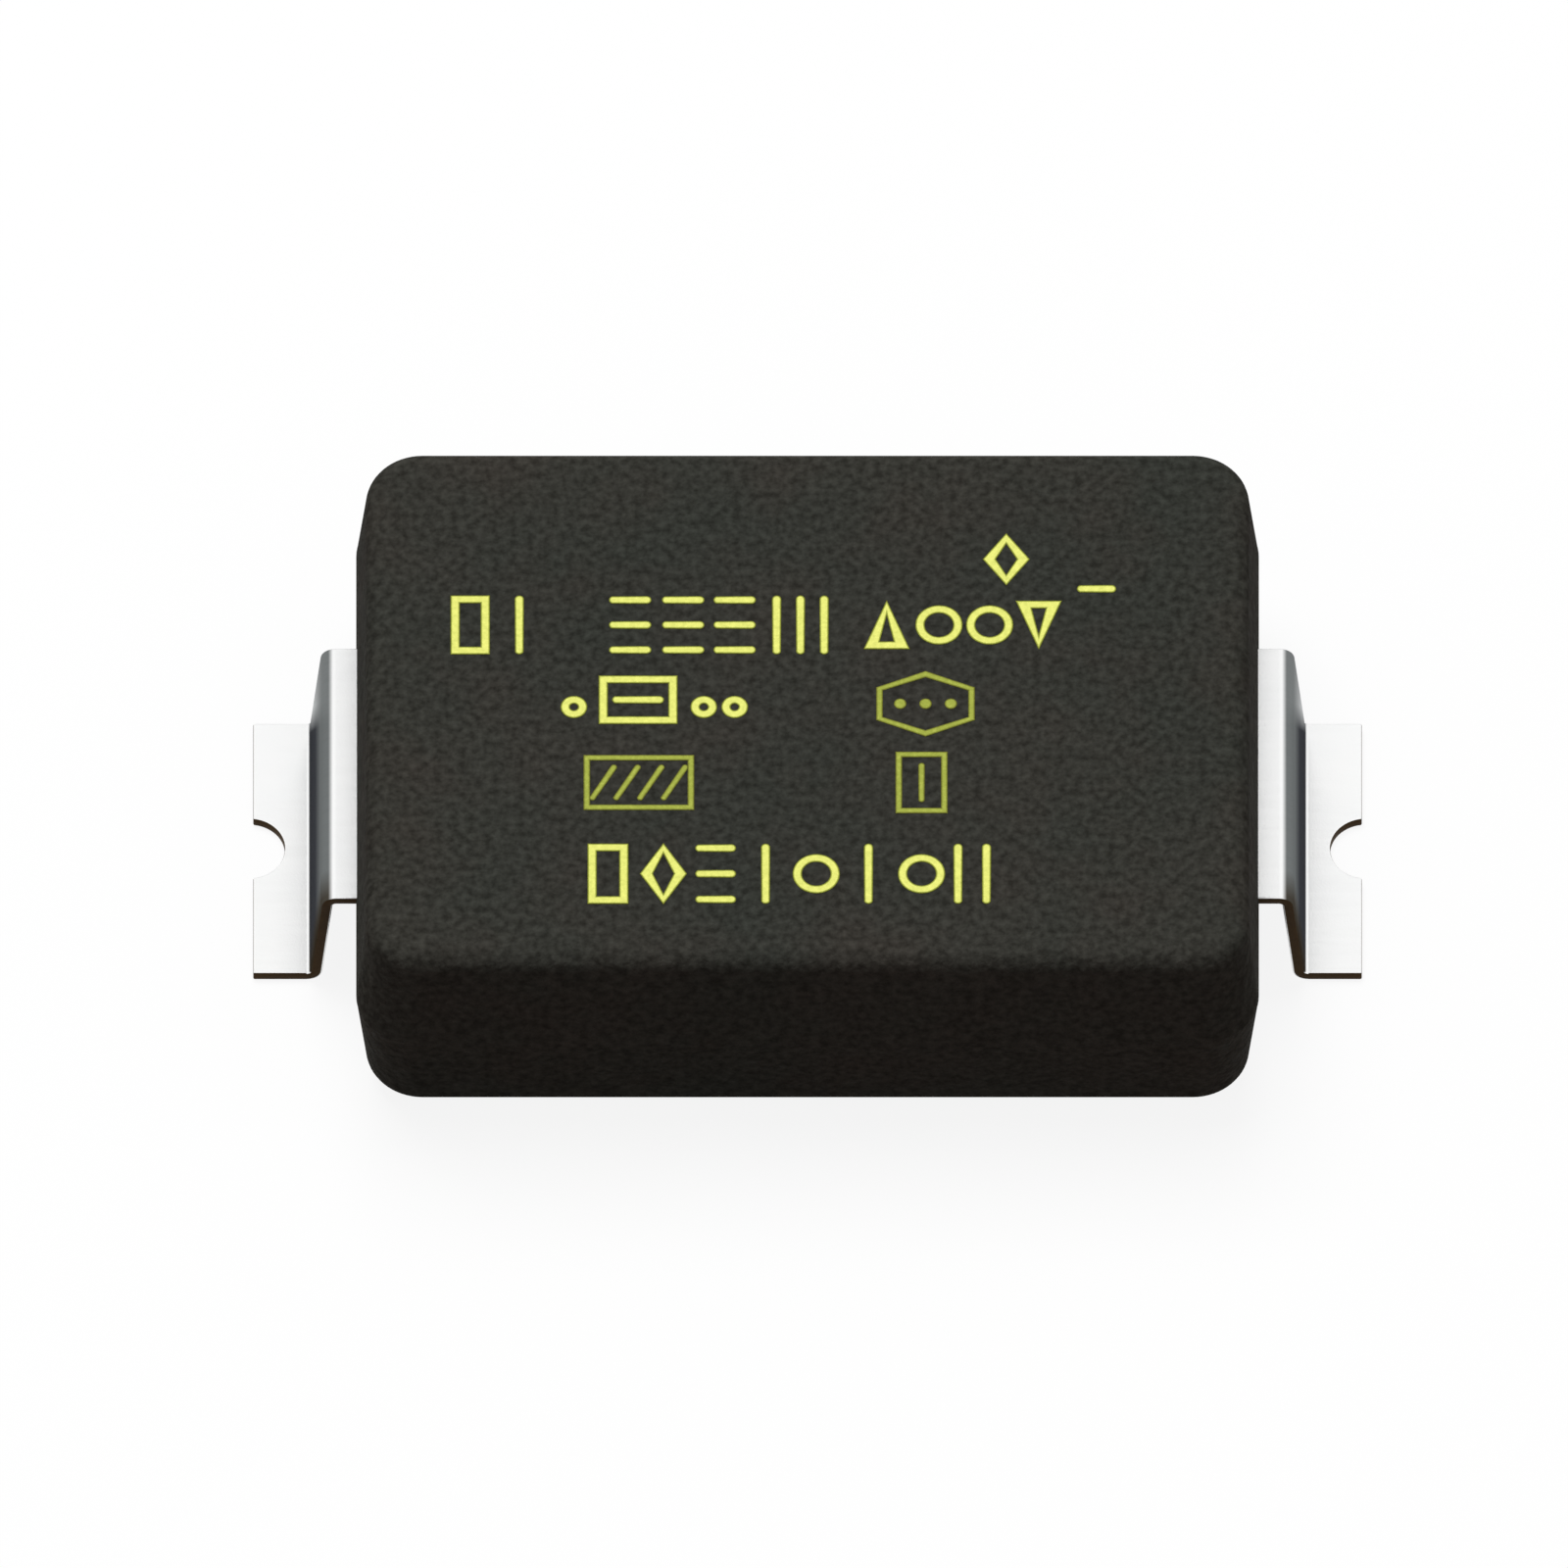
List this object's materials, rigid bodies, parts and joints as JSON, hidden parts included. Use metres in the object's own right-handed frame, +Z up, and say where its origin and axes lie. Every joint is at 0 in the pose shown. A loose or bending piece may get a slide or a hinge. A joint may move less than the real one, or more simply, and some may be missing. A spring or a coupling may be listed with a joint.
{
  "type": "safety capacitor",
  "caption": "Surface-mount safety capacitor: a drafted block of moulded epoxy round a ceramic disc, with a flat strip terminal bent into a notched foot at each end.",
  "frame": {"origin": "on the board's surface, under the middle of the case", "axes": "+X along the case from the left foot to the right foot, +Z up from the board"},
  "size_m": [0.014, 0.0082, 0.0034],
  "materials": {
    "case_epoxy": "matte black mould texture",
    "tin_plated_strip": "satin tin plating on copper alloy",
    "disc_ceramic": "sintered, matte",
    "fired_metal": "fired silver layer, matte",
    "solder": "satin"
  },
  "bodies": {
    "root": {"molded_case": "case_epoxy", "left_terminal": "tin_plated_strip", "right_terminal": "tin_plated_strip", "ceramic_disc": "disc_ceramic", "upper_electrode": "fired_metal", "lower_electrode": "fired_metal", "upper_solder_joint": "solder", "lower_solder_joint": "solder"}
  },
  "joints": []
}
